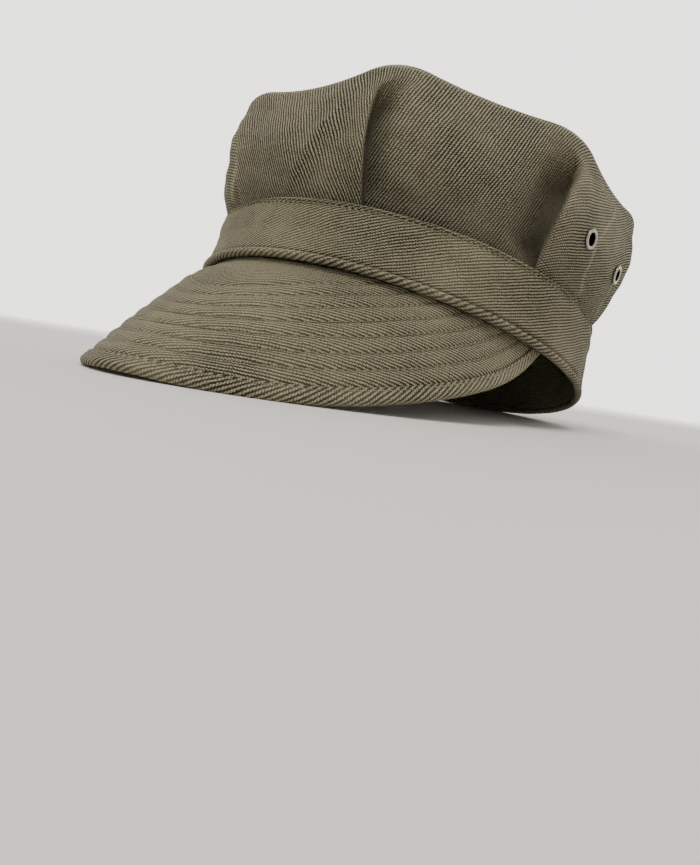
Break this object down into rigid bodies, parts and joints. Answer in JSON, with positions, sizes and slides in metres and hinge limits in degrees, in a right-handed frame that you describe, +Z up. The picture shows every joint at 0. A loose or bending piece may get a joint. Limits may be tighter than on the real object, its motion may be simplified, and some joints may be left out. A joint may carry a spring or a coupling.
{
  "type": "patrol cap",
  "caption": "Soft eight-cornered cloth patrol cap with a flat pleated crown, a headband with a corded lower edge, a stiff sloping visor with a bound edge, and metal vent eyelets.",
  "frame": {"origin": "on the surface the cap rests on, under the middle of its overall box", "axes": "+Z up from that surface, -Y toward the visor, +X toward the wearer's left"},
  "size_m": [0.1814, 0.275, 0.123],
  "materials": {
    "crown_twill": "coarse olive cotton twill",
    "band_twill": "coarse olive cotton twill with topstitching",
    "welt_twill": "olive twill cut on the bias over a cord",
    "visor_twill": "olive cotton twill, quilted with rows of stitching",
    "binding_twill": "olive twill binding cut on the bias",
    "eyelet_metal": "nickel-plated eyelet, slightly worn"
  },
  "bodies": {
    "root": {"crown": "crown_twill", "band": "band_twill", "band_welt": "welt_twill", "visor": "visor_twill", "visor_binding": "binding_twill", "eyelet_left_front": "eyelet_metal", "eyelet_left_rear": "eyelet_metal", "eyelet_right_front": "eyelet_metal", "eyelet_right_rear": "eyelet_metal"}
  },
  "joints": []
}
